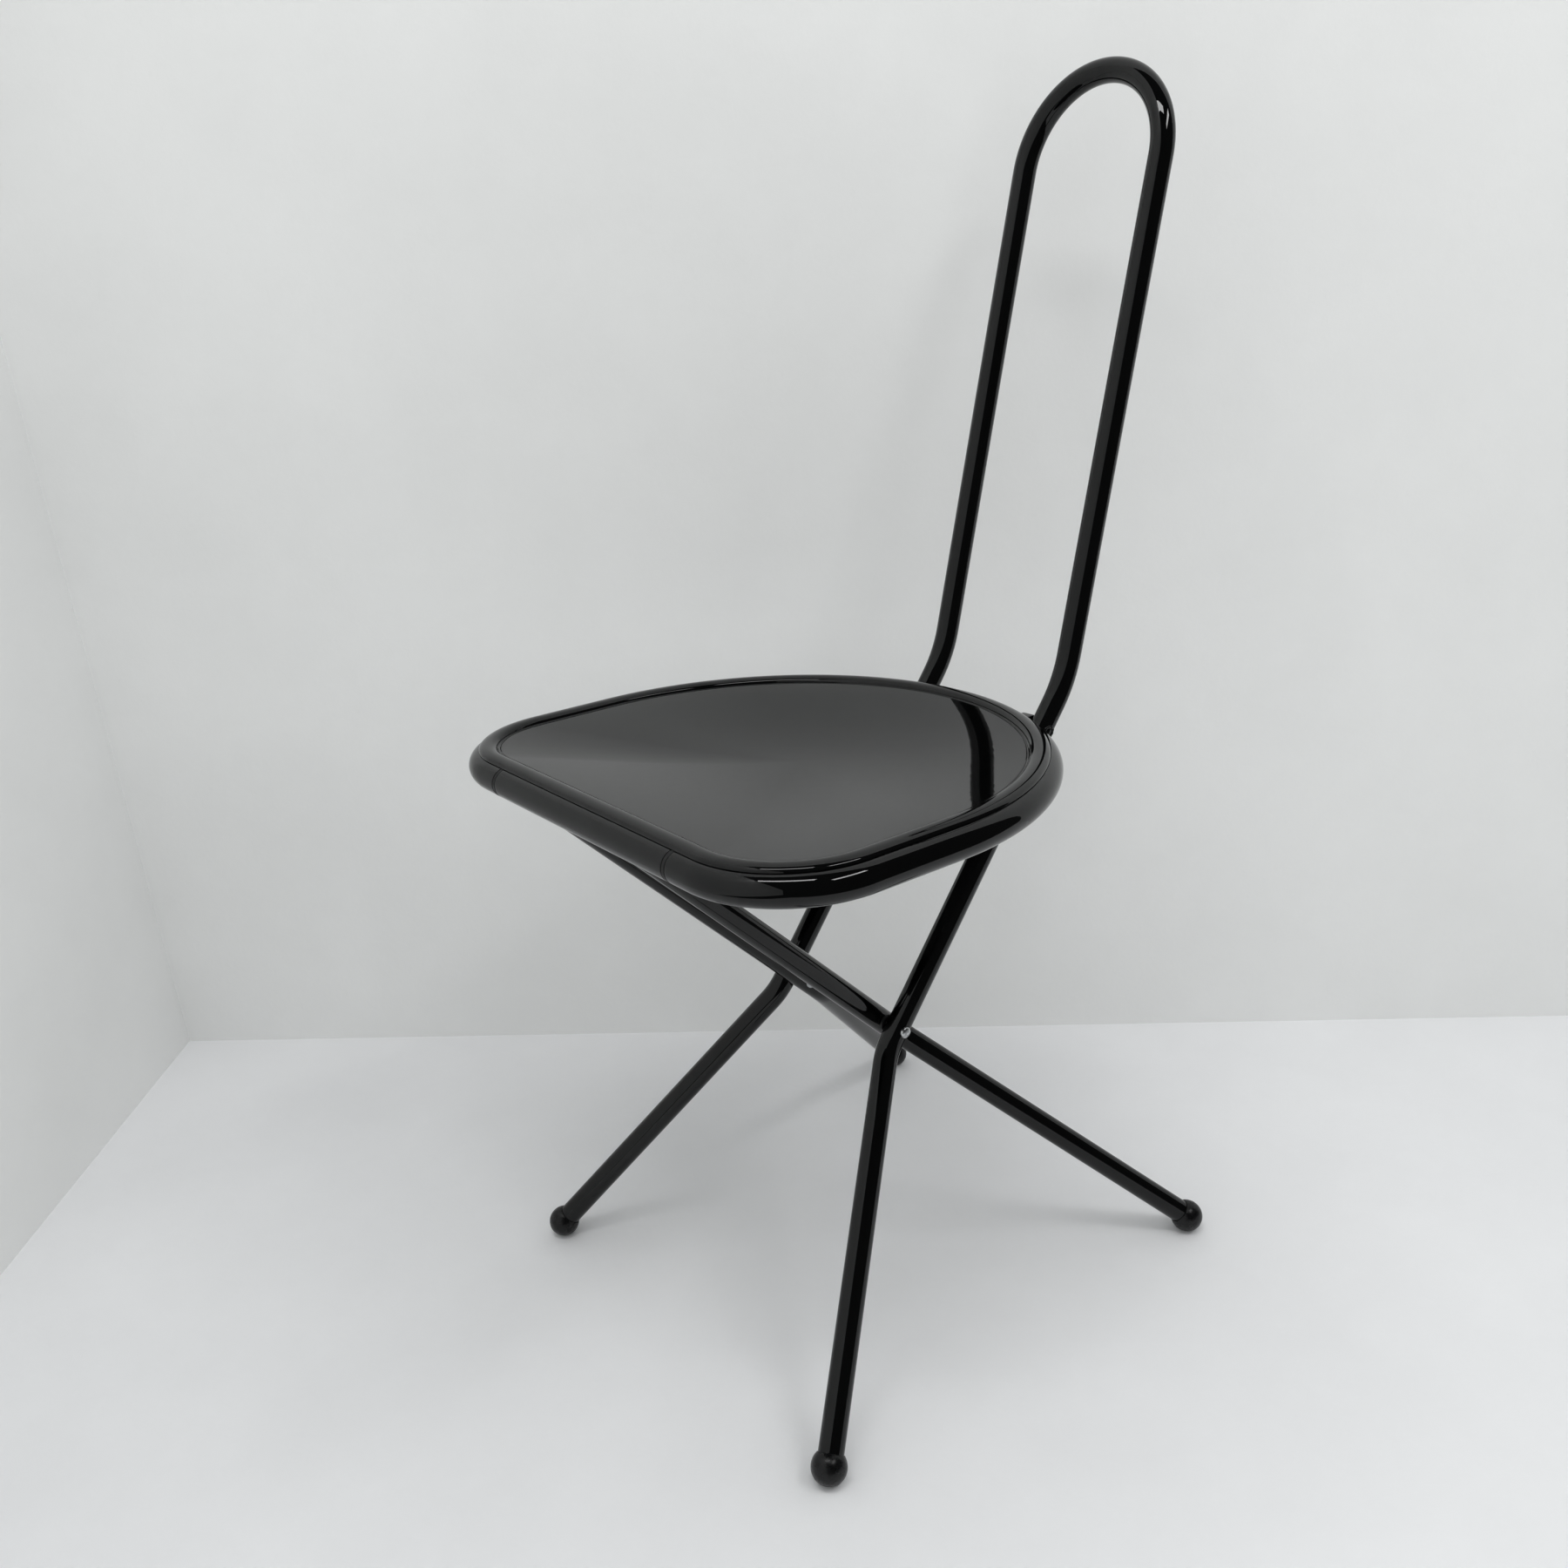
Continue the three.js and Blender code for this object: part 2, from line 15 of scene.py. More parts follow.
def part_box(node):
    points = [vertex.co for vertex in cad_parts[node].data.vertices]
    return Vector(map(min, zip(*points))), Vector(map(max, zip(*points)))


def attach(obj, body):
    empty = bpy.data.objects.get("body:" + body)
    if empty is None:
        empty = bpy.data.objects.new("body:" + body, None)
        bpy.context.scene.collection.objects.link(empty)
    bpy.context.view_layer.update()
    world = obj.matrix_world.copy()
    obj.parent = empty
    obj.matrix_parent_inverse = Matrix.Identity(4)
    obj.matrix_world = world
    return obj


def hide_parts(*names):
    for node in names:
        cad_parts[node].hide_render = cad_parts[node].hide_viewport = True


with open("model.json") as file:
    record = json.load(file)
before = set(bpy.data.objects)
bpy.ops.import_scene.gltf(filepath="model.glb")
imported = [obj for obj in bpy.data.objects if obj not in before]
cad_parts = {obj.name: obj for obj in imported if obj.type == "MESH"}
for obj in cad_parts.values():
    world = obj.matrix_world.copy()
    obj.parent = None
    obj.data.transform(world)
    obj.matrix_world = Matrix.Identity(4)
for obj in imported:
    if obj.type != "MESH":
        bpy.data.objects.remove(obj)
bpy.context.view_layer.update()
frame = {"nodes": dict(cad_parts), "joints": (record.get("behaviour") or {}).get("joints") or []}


# ------------------------------------------------------------------------------ hoop frame tube
# One 18 mm steel tube runs from a front foot up the leg, over the back in a hoop and down to the
# other front foot. It is bent cold on round formers, then dipped in black enamel and stoved.

HINGE_TO_KNEE = np.array([0, 0.386, 0.011])
BACK_LEAN = np.radians(17.2)
BACK_LENGTH = 0.4485
BACK_HALF_SPACING = 0.0665
FRAME_RADIUS = 0.009
TUBE_WALL = 0.0015
KNEE_BEND = 0.100
LEG_BEND = 0.050
FRONT_SPLAY_START = 0.018
FOOT_RADIUS = 0.0125
FOOT_FLAT = 0.0005
FOOT_SOCKET = 0.006
FRONT_FOOT_OUT = 0.180
FRONT_FOOT_AHEAD = 0.180163
REAR_FOOT_OUT = 0.1785
REAR_FOOT_BEHIND = 0.196837
TUBE_COLUMNS = 56
ENAMEL_BLACK = (0.0012, 0.0013, 0.0014, 1)
ENAMEL_BLOOM = (0.0024, 0.0026, 0.0027, 1)

joint_at = {joint["name"]: np.array(joint["pos_m"], float) for joint in frame["joints"]}
pivot = joint_at["leg_fold"]
hinge = joint_at["seat_fold"]
knee = hinge + HINGE_TO_KNEE
hoop_top = knee + BACK_LENGTH * np.array([0, np.sin(BACK_LEAN), np.cos(BACK_LEAN)])
SIDES = {"left": 1, "right": -1}


def unit(vectors):
    """Each vector over its own length."""
    return vectors / np.linalg.norm(vectors, axis=-1, keepdims=True)


def with_x(point, x):
    """The same point of the side view, moved to that distance from the chair's middle."""
    return np.array([x, point[1], point[2]])


def bent_axis(corners, radii, bend_step=np.radians(2.5), straight_step=0.02):
    """Straights between corners, each corner rounded by the arc of its radius that touches both.
    On an arc the point is start + r sin(a) along the way in + r (1 - cos(a)) towards the way out.
    Returns the stations and the unit tangent at each."""
    corners = np.array(corners, float)
    ways = unit(np.diff(corners, axis=0))
    points, tangents = [corners[:1]], [ways[:1]]
    for corner, radius, way_in, way_out in zip(corners[1:-1], radii, ways[:-1], ways[1:]):
        bend = np.arccos(np.clip(way_in @ way_out, -1, 1))
        inward = unit(way_out - way_in * (way_in @ way_out))
        start = corner - way_in * radius * np.tan(bend / 2)
        turned = np.linspace(0, bend, max(3, int(bend / bend_step)))[:, None]
        points.append(start + radius * (np.sin(turned) * way_in + (1 - np.cos(turned)) * inward))
        tangents.append(np.cos(turned) * way_in + np.sin(turned) * inward)
    points.append(corners[-1:])
    tangents.append(ways[-1:])
    points, tangents = np.concatenate(points), np.concatenate(tangents)
    lengths = np.linalg.norm(np.diff(points, axis=0), axis=1)
    kept = np.concatenate([[True], lengths > 1e-7])
    points, tangents = points[kept], tangents[kept]
    travelled = np.concatenate([[0], np.cumsum(np.linalg.norm(np.diff(points, axis=0), axis=1))])
    counts = np.maximum(1, np.ceil(np.diff(travelled) / straight_step)).astype(int)
    wanted = np.concatenate([np.linspace(a, b, n, endpoint=False)
                             for a, b, n in zip(travelled[:-1], travelled[1:], counts)] + [travelled[-1:]])
    filled = [np.stack([np.interp(wanted, travelled, values[:, k]) for k in range(3)], axis=1)
              for values in (points, tangents)]
    return filled[0], unit(filled[1])


def surface(name, rows, start=None, end=None, wrap_rows=False, sharp=np.radians(38)):
    """A grid of points, rows by columns, made into a closed skin. Each row is a loop. The ends are
    closed by a fan to the start and end points, or by joining the last row to the first."""
    count, columns = rows.shape[:2]
    index = np.arange(count * columns).reshape(count, columns)
    here = index if wrap_rows else index[:-1]
    there = np.roll(index, -1, axis=0) if wrap_rows else index[1:]
    corners = (here, np.roll(here, -1, axis=1), np.roll(there, -1, axis=1), there)
    quads = np.stack(corners, axis=-1).reshape(-1, 4)
    vertices = rows.reshape(-1, 3)
    fans = []
    for pole, loop in ((start, index[0][::-1]), (end, index[-1])):
        if pole is not None:
            tip = np.full(columns, len(vertices))
            vertices = np.concatenate([vertices, np.reshape(pole, (1, 3))])
            fans.append(np.stack([loop, np.roll(loop, -1), tip], axis=1))
    triangles = np.concatenate([quads[:, [0, 1, 2]], quads[:, [0, 2, 3]], *fans])
    a, b, c = (vertices[triangles[:, k]] for k in range(3))
    inside_out = np.einsum("ij,ij->i", a, np.cross(b, c)).sum() < 0
    faces = [face[::-1] if inside_out else face for group in (quads, *fans) for face in group.tolist()]
    mesh = bpy.data.meshes.new(name)
    mesh.from_pydata(vertices, [], faces)
    mesh.polygons.foreach_set("use_smooth", np.ones(len(faces), bool))
    mesh.set_sharp_from_angle(angle=sharp)
    mesh.update()
    piece = bpy.data.objects.new(name, mesh)
    bpy.context.scene.collection.objects.link(piece)
    return piece


def carried(points, tangents, reference, section):
    """A section carried along a path: point + across * x + over * y, where across is square to the
    tangent and the reference, and over is square to both. section is (columns, 2), or one per row."""
    across = unit(np.cross(reference, tangents))
    over = np.cross(tangents, across)
    section = np.broadcast_to(section, (len(points), *np.shape(section)[-2:]))
    return (points[:, None] + section[..., :1] * across[:, None] + section[..., 1:] * over[:, None])


def round_section(radius, columns=TUBE_COLUMNS):
    """A circle of columns points."""
    angle = np.linspace(0, 2 * np.pi, columns, endpoint=False)
    return radius * np.stack([np.cos(angle), np.sin(angle)], axis=1)


def tube(name, axis, reference, radius, wall=TUBE_WALL, edge=0.0005):
    """A tube along an axis, outside and bore, its cut ends eased by a quarter round of the edge.
    Row by row the point on the axis is moved in from the end, and the radius goes round the edge."""
    points, tangents = axis
    ease = np.linspace(0, np.pi / 2, 5)
    inset = edge * (1 - np.sin(ease))
    eased = radius - edge * (1 - np.cos(ease))
    ends = ((points[0], tangents[0], 1), (points[-1], tangents[-1], -1))
    lip = [end + way * sign * inset[:, None] for end, way, sign in ends]
    shoulder = [end + way * sign * 3 * edge for end, way, sign in ends]
    outside = [lip[0][::-1], shoulder[0][None], points[1:-1], shoulder[1][None], lip[1]]
    ways = [np.repeat(tangents[:1], 6, axis=0), tangents[1:-1], np.repeat(tangents[-1:], 6, axis=0)]
    radii = [eased[::-1], np.full(len(points), radius), eased, np.full(len(points), radius - wall)]
    at = np.concatenate([*outside, points[::-1]])
    along = np.concatenate([*ways, tangents[::-1]])
    sections = round_section(1) * np.concatenate(radii)[:, None, None]
    return surface(name, carried(at, along, reference, sections), wrap_rows=True)


def new_material(name):
    """An empty node material with its surface shader, and a function that adds and wires nodes."""
    material = bpy.data.materials.new(name)
    material.use_nodes = True
    nodes, links = material.node_tree.nodes, material.node_tree.links
    shader = nodes["Principled BSDF"]

    def node(kind, settings=None, **inputs):
        made = nodes.new(kind)
        for key, value in (settings or {}).items():
            setattr(made, key, value)
        for key, value in inputs.items():
            socket = made.inputs[int(key[1:]) if key[1:].isdigit() else key.replace("_", " ")]
            if isinstance(value, bpy.types.NodeSocket):
                links.new(value, socket)
            else:
                socket.default_value = value
        return made

    return material, shader, node, links


def ramp(node, value, low, high, dark, light):
    """A value from low to high turned into a number or a colour from dark to light."""
    if isinstance(dark, tuple):
        share = node("ShaderNodeMapRange", Value=value, From_Min=low, From_Max=high).outputs[0]
        return node("ShaderNodeMix", {"data_type": "RGBA"}, i0=share, i6=dark, i7=light).outputs[2]
    return node("ShaderNodeMapRange", Value=value, From_Min=low, From_Max=high,
                To_Min=dark, To_Max=light).outputs[0]


def black_enamel():
    """Stoved gloss enamel: a nearly clear mirror over black, with the faint waviness of a dipped
    coat, a little haze where it has been handled, hairline rubs and a few specks of dust."""
    material, shader, node, links = new_material("black_enamel")
    place = node("ShaderNodeTexCoord").outputs["Object"]
    handled = node("ShaderNodeTexNoise", Vector=place, Scale=9, Detail=4, Roughness=0.6).outputs[0]
    rubbed = node("ShaderNodeMapping", i1=place, i3=(60, 14, 60)).outputs[0]
    hairlines = node("ShaderNodeTexNoise", Vector=rubbed, Scale=34, Detail=2, Distortion=1.5).outputs[0]
    specks = node("ShaderNodeTexVoronoi", Vector=place, Scale=260, Randomness=1).outputs["Distance"]
    dusty = ramp(node, specks, 0.035, 0.06, 1.0, 0.0)
    haze = ramp(node, handled, 0.45, 0.75, 0.015, 0.04)
    rubs = ramp(node, hairlines, 0.68, 0.76, 0.0, 0.05)
    settled = ramp(node, handled, 0.52, 0.6, 0.0, 0.12)
    dust = node("ShaderNodeMath", {"operation": "MULTIPLY"}, i0=dusty, i1=settled).outputs[0]
    roughness = node("ShaderNodeMath", {"operation": "ADD"}, i0=haze, i1=rubs).outputs[0]
    links.new(node("ShaderNodeMath", {"operation": "ADD"}, i0=roughness, i1=dust).outputs[0],
              shader.inputs["Roughness"])
    links.new(ramp(node, handled, 0.3, 0.75, ENAMEL_BLACK, ENAMEL_BLOOM), shader.inputs["Base Color"])
    dipped = node("ShaderNodeTexNoise", Vector=place, Scale=120, Detail=1).outputs[0]
    peel = node("ShaderNodeTexNoise", Vector=place, Scale=700, Detail=1).outputs[0]
    wavy = node("ShaderNodeBump", Height=dipped, Strength=0.10, Distance=0.0002).outputs[0]
    skin = node("ShaderNodeBump", Height=peel, Strength=0.05, Distance=0.0001, Normal=wavy).outputs[0]
    links.new(skin, shader.inputs["Normal"])
    shader.inputs["IOR"].default_value = 1.5
    return material


def finish_piece(piece, body, slot, material, *nodes):
    """Gives a piece its material and its body, and hides the CAD nodes that it stands for."""
    piece.data.materials.append(material)
    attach(piece, body)
    if nodes:
        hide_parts(*nodes)
    return piece


enamel = black_enamel()

# Each foot's place is the middle of its ball, sideways from the middle and ahead of or behind the rivets.
foot_height = FOOT_RADIUS - FOOT_FLAT
front_foot_at = {side: np.array([sign * FRONT_FOOT_OUT, pivot[1] - FRONT_FOOT_AHEAD, foot_height])
                 for side, sign in SIDES.items()}
rear_foot_at = {side: np.array([sign * REAR_FOOT_OUT, pivot[1] + REAR_FOOT_BEHIND, foot_height])
                for side, sign in SIDES.items()}
front_leg_down = unit(with_x(front_foot_at["left"], 0) - knee)


def hoop_corners(side):
    """Foot end of the tube, start of the splay, knee and hoop corner on one side."""
    x = SIDES[side] * BACK_HALF_SPACING
    splay = with_x(pivot + front_leg_down * FRONT_SPLAY_START, x)
    foot = front_foot_at[side]
    return [foot + unit(splay - foot) * FOOT_SOCKET, splay, with_x(knee, x), with_x(hoop_top, x)]


hoop_bends = [LEG_BEND, KNEE_BEND, BACK_HALF_SPACING]
hoop_axis = bent_axis(hoop_corners("left") + hoop_corners("right")[::-1], hoop_bends + hoop_bends[::-1])
square_to_back = np.array([0, np.cos(BACK_LEAN), -np.sin(BACK_LEAN)])
finish_piece(tube("hoop_tube", hoop_axis, square_to_back, FRAME_RADIUS),
             "hoop_frame", "black_enamel", enamel, "hoop_frame_tube")


# ------------------------------------------------------------------------------------ latch rod
# An 8 mm rod between the back tubes just under the seat. Its ends are welded to the tubes all
# round before the enamel goes on, so the bead is as black and glossy as the tube.

ROD_DROP = 0.0325
ROD_RADIUS = 0.004
ROD_WELD = 0.0011
BEAD_RIPPLE = 0.0028


def bar(name, start, end, radius, dome=0.3, columns=40):
    """A round bar with softly domed ends: rows of circles whose radius falls to nothing."""
    way = unit(end - start)
    reach = np.linalg.norm(end - start)
    turn = np.linspace(0.08, np.pi / 2, 7)
    nose = dome * radius * (1 - np.sin(turn))
    straight = [2 * dome * radius, reach / 2, reach - 2 * dome * radius]
    at = np.concatenate([nose, straight, reach - nose[::-1]])
    radii = np.concatenate([radius * np.sin(turn), [radius] * 3, radius * np.sin(turn)[::-1]])
    reference = np.array([0, 0, 1.0]) if abs(way[2]) < 0.9 else np.array([0, 1.0, 0])
    ways = np.repeat(way[None], len(at), axis=0)
    circles = round_section(1, columns) * radii[:, None, None]
    rows = carried(start + at[:, None] * way, ways, reference, circles)
    return surface(name, rows, start=start, end=end)


def weld_bead(name, bar_at, bar_way, bar_radius, tube_at, tube_way, tube_radius, size):
    """A fillet bead where a bar runs into a tube. For each angle round the bar the line along its
    skin meets the tube's skin where the distance to the tube's axis is the tube's radius."""
    angle = np.linspace(0, 2 * np.pi, 160, endpoint=False)[:, None]
    side = unit(np.cross(bar_way, tube_way))
    up = np.cross(bar_way, side)
    outward = np.cos(angle) * side + np.sin(angle) * up
    skin = bar_at + bar_radius * outward - tube_at
    flat = skin - (skin @ tube_way)[:, None] * tube_way
    slope = bar_way - (bar_way @ tube_way) * tube_way
    a, b, c = slope @ slope, flat @ slope, np.einsum("ij,ij->i", flat, flat) - tube_radius ** 2
    along = (-b + np.sqrt(np.maximum(b * b - a * c, 0))) / a
    curve = tube_at + skin + along[:, None] * bar_way
    tangents = unit(np.roll(curve, -1, axis=0) - np.roll(curve, 1, axis=0))
    length = np.linalg.norm(np.roll(curve, -1, axis=0) - curve, axis=1).sum()
    ripple = 1 + 0.1 * np.sin(angle[:, 0] * round(length / BEAD_RIPPLE))
    sections = round_section(size, 18) * ripple[:, None, None]
    return surface(name, carried(curve, tangents, outward, sections), wrap_rows=True)


rod_at = knee + front_leg_down * ROD_DROP / -front_leg_down[2]
rod_reach = BACK_HALF_SPACING - FRAME_RADIUS + TUBE_WALL / 2
finish_piece(bar("latch_bar", with_x(rod_at, -rod_reach), with_x(rod_at, rod_reach), ROD_RADIUS),
             "hoop_frame", "black_enamel", enamel, "latch_rod")
for side, sign in SIDES.items():
    bead = weld_bead(f"latch_bar_weld_{side}", rod_at, np.array([sign, 0.0, 0]), ROD_RADIUS,
                     with_x(rod_at, sign * BACK_HALF_SPACING), front_leg_down, -FRAME_RADIUS, ROD_WELD)
    finish_piece(bead, "hoop_frame", "black_enamel", enamel)


# ----------------------------------------------------------------------------------------- feet
# A moulded ball of satin black plastic on each leg: a stem pushed into the tube holds it, a low
# collar meets the cut end of the tube, and the ball is worn to a small flat where it stands.

FOOT_COLLAR = 0.0007
PLASTIC_BLACK = (0.0035, 0.0037, 0.004, 1)
PLASTIC_SCUFF = (0.020, 0.020, 0.0195, 1)


def turned(name, at, way, outline, columns=48):
    """A turned piece: each (radius, height) pair of the outline is a circle round the way, and a
    radius of nothing at either end is a pole."""
    outline = np.array(outline, float)
    way = np.asarray(way, float)
    reference = np.array([0, 0, 1.0]) if abs(way[2]) < 0.8 else np.array([1.0, 0, 0])
    poles = [at + outline[k, 1] * way if outline[k, 0] == 0 else None for k in (0, -1)]
    loops = outline[outline[:, 0] > 0]
    ways = np.repeat(way[None], len(loops), axis=0)
    rows = carried(at + loops[:, 1:] * way, ways, reference, round_section(1, columns) * loops[:, :1, None])
    return surface(name, rows, *poles, wrap_rows=poles[0] is None)


def arc(centre, radius, start, end, steps):
    """Points of an arc in an outline, from one angle to another."""
    angle = np.linspace(start, end, steps)
    return np.stack([centre[0] + radius * np.cos(angle), centre[1] + radius * np.sin(angle)], axis=1)


def moulded_plastic(name, black, scuffed, roughness):
    """Moulded black plastic: a fine spark-eroded grain, and scuffs that pale and dull it where it
    stands near the floor."""
    material, shader, node, links = new_material(name)
    place = node("ShaderNodeTexCoord").outputs["Object"]
    height = node("ShaderNodeSeparateXYZ", Vector=place).outputs[2]
    uneven = node("ShaderNodeTexNoise", Vector=place, Scale=130, Detail=5, Roughness=0.7).outputs[0]
    low = ramp(node, height, 0.001, 0.008, 1.0, 0.0)
    patchy = ramp(node, uneven, 0.45, 0.62, 0.0, 1.0)
    scuff = node("ShaderNodeMath", {"operation": "MULTIPLY"}, i0=low, i1=patchy).outputs[0]
    links.new(ramp(node, scuff, 0, 1, black, scuffed), shader.inputs["Base Color"])
    varied = ramp(node, uneven, 0.35, 0.65, roughness, roughness + 0.12)
    dulled = ramp(node, scuff, 0, 1, 0.0, 0.25)
    links.new(node("ShaderNodeMath", {"operation": "ADD"}, i0=varied, i1=dulled).outputs[0],
              shader.inputs["Roughness"])
    grain = node("ShaderNodeTexNoise", Vector=place, Scale=3200, Detail=2).outputs[0]
    links.new(node("ShaderNodeBump", Height=grain, Strength=0.25, Distance=0.0001).outputs[0],
              shader.inputs["Normal"])
    shader.inputs["IOR"].default_value = 1.48
    return material


def ball_foot(name, at, way):
    """The ball from its pole to the collar, then the collar, the socket's floor and the stem's end.
    Points that would lie under the floor are lifted onto it, which leaves the flat."""
    rim = np.arcsin((FRAME_RADIUS + FOOT_COLLAR) / FOOT_RADIUS)
    ball = arc((0, 0), FOOT_RADIUS, -np.pi / 2, np.pi / 2 - rim, 40)
    ball[0, 0] = 0
    top = ball[-1, 1]
    lip = arc((FRAME_RADIUS + FOOT_COLLAR / 2, top), FOOT_COLLAR / 2, 0, np.pi, 7)
    bore = FRAME_RADIUS - TUBE_WALL
    inside = [(FRAME_RADIUS, FOOT_SOCKET), (bore, FOOT_SOCKET), (bore, 2 * FOOT_SOCKET), (0, 2 * FOOT_SOCKET)]
    foot = turned(name, at, way, np.concatenate([ball, lip, inside]))
    points = np.array([v.co for v in foot.data.vertices])
    points[:, 2] = np.maximum(points[:, 2], 0)
    foot.data.vertices.foreach_set("co", points.ravel())
    foot.data.update()
    return foot


foot_plastic = moulded_plastic("foot_plastic", PLASTIC_BLACK, PLASTIC_SCUFF, 0.22)
for side in SIDES:
    corners = hoop_corners(side)
    foot = ball_foot(f"front_ball_{side}", front_foot_at[side], unit(corners[1] - corners[0]))
    finish_piece(foot, "hoop_frame", "foot_plastic", foot_plastic, f"front_foot_{side}")


# --------------------------------------------------------------------------------------- pivots
# Where the legs cross, a zinc plated steel rivet passes through both tubes and a nylon washer
# that keeps the enamel apart. The domed head is outside and the closed end, as round, inside.

RIVET_SHANK = 0.003
RIVET_HEAD = 0.0044
RIVET_DOME = 0.0024
SPACER = 0.003
WASHER_RADIUS = 0.007
CLEARANCE = 0.0003
NYLON_BLACK = (0.008, 0.0085, 0.009, 1)
NYLON_SCUFF = (0.030, 0.030, 0.030, 1)
ZINC_BRIGHT = (0.66, 0.67, 0.67, 1)
ZINC_DULL = (0.42, 0.43, 0.44, 1)


def zinc_plate():
    """Bright zinc on steel: cool grey metal, a little blotched, with fine tooling scratches."""
    material, shader, node, links = new_material("zinc_plate")
    place = node("ShaderNodeTexCoord").outputs["Object"]
    blotch = node("ShaderNodeTexNoise", Vector=place, Scale=500, Detail=4).outputs[0]
    tooling = node("ShaderNodeTexNoise", Vector=node("ShaderNodeMapping", i1=place, i3=(1, 6, 1)).outputs[0],
                   Scale=1500, Detail=2).outputs[0]
    links.new(ramp(node, blotch, 0.35, 0.65, ZINC_DULL, ZINC_BRIGHT), shader.inputs["Base Color"])
    links.new(ramp(node, blotch, 0.3, 0.7, 0.42, 0.24), shader.inputs["Roughness"])
    links.new(node("ShaderNodeBump", Height=tooling, Strength=0.25, Distance=0.0001).outputs[0],
              shader.inputs["Normal"])
    shader.inputs["Metallic"].default_value = 1
    return material


zinc = zinc_plate()
nylon = moulded_plastic("bush_nylon", NYLON_BLACK, NYLON_SCUFF, 0.42)
rear_half_spacing = BACK_HALF_SPACING - 2 * FRAME_RADIUS - SPACER


def rivet_head(face, growing):
    """Half an ellipse from the rim to the pole, on a low cylindrical edge that sits on the tube."""
    bend = np.linspace(0, np.pi / 2, 9)
    radii = RIVET_HEAD * np.cos(bend)
    radii[-1] = 0
    heights = face + growing * (0.0004 + (RIVET_DOME - 0.0004) * np.sin(bend))
    return [(RIVET_HEAD, face - growing * 0.0006)] + list(zip(radii, heights))


for side, sign in SIDES.items():
    outer, inner = BACK_HALF_SPACING + FRAME_RADIUS, rear_half_spacing - FRAME_RADIUS
    outline = rivet_head(inner, -1)[::-1] + [(RIVET_SHANK, inner + 0.0006), (RIVET_SHANK, outer - 0.0006)]
    outline += rivet_head(outer, 1)
    rivet = turned(f"rivet_{side}", with_x(pivot, 0), np.array([sign, 0.0, 0]), outline)
    finish_piece(rivet, "hoop_frame", "zinc_steel", zinc, f"pivot_rivet_{side}")
    half = SPACER / 2 - CLEARANCE
    rim = 0.0003
    outline = [(RIVET_SHANK + CLEARANCE, -half), (WASHER_RADIUS - rim, -half), (WASHER_RADIUS, rim - half),
               (WASHER_RADIUS, half - rim), (WASHER_RADIUS - rim, half), (RIVET_SHANK + CLEARANCE, half)]
    middle = with_x(pivot, sign * (BACK_HALF_SPACING - FRAME_RADIUS - SPACER / 2))
    washer = turned(f"washer_{side}", middle, np.array([sign, 0.0, 0]), outline)
    finish_piece(washer, "hoop_frame", "bush_plastic", nylon, f"pivot_washer_{side}")


# ------------------------------------------------------------------------------- rear leg frame
# The front rail is a straight 22 mm tube. Two 18 mm legs are welded under it, run down and back
# inside the hoop frame's legs, and splay out below the crossing to the rear feet.

SEAT_RADIUS = 0.011
REAR_SPLAY_START = 0.022
REAR_WELD = 0.0013

rail_half_length = float(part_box("front_rail_tube")[1].x)
rail_ends = [with_x(hinge, -rail_half_length), with_x(hinge, rail_half_length)]
UP = np.array([0, 0, 1.0])
finish_piece(tube("rail_tube", bent_axis(rail_ends, []), UP, SEAT_RADIUS),
             "rear_leg_frame", "black_enamel", enamel, "front_rail_tube")

rear_leg_down = unit(with_x(rear_foot_at["left"], 0) - hinge)
for side, sign in SIDES.items():
    x = sign * rear_half_spacing
    top = with_x(hinge + rear_leg_down * (SEAT_RADIUS - TUBE_WALL), x)
    splay = with_x(pivot + rear_leg_down * REAR_SPLAY_START, x)
    foot = rear_foot_at[side]
    end = foot + unit(splay - foot) * FOOT_SOCKET
    leg = tube(f"rear_leg_tube_{side}", bent_axis([top, splay, end], [LEG_BEND]), np.array([1.0, 0, 0]),
               FRAME_RADIUS)
    finish_piece(leg, "rear_leg_frame", "black_enamel", enamel, f"rear_leg_{side}")
    bead = weld_bead(f"rear_leg_weld_{side}", with_x(hinge, x), rear_leg_down, FRAME_RADIUS,
                     with_x(hinge, x), np.array([1.0, 0, 0]), SEAT_RADIUS, REAR_WELD)
    finish_piece(bead, "rear_leg_frame", "black_enamel", enamel)
    ball = ball_foot(f"rear_ball_{side}", foot, unit(splay - foot))
    finish_piece(ball, "rear_leg_frame", "foot_plastic", foot_plastic, f"rear_foot_{side}")


# ------------------------------------------------------------------------------------ seat hinge
# A flanged nylon bush is pressed into each end of the rail. A zinc plated pin, plugged into each
# end of the ring, turns in it, so that only the flange shows as a fine double line.

BUSH_EASE = 0.00035
BUSH_HOLE = 0.0063

for side, sign in SIDES.items():
    low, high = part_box(f"hinge_bush_{side}")
    flange_start = rail_half_length + CLEARANCE
    flange_end = max(abs(low.x), abs(high.x))
    eased = SEAT_RADIUS - BUSH_EASE
    outline = [(BUSH_HOLE, flange_start), (eased, flange_start), (SEAT_RADIUS, flange_start + BUSH_EASE),
               (SEAT_RADIUS, flange_end - BUSH_EASE), (eased, flange_end), (BUSH_HOLE, flange_end)]
    bush = turned(f"bush_{side}", with_x(hinge, 0), np.array([sign, 0.0, 0]), outline, 64)
    finish_piece(bush, "rear_leg_frame", "bush_plastic", nylon, f"hinge_bush_{side}")
    pin = frame["nodes"][f"hinge_pin_{side}"]
    pin.data.materials.clear()
    pin.data.materials.append(zinc)


# ------------------------------------------------------------------------------------- seat ring
# The seat's ring is one 22 mm tube, bent to two quarter rounds in front and a half round behind.
# Its open ends close on the rail, which it turns on, and it drops a little towards the back.

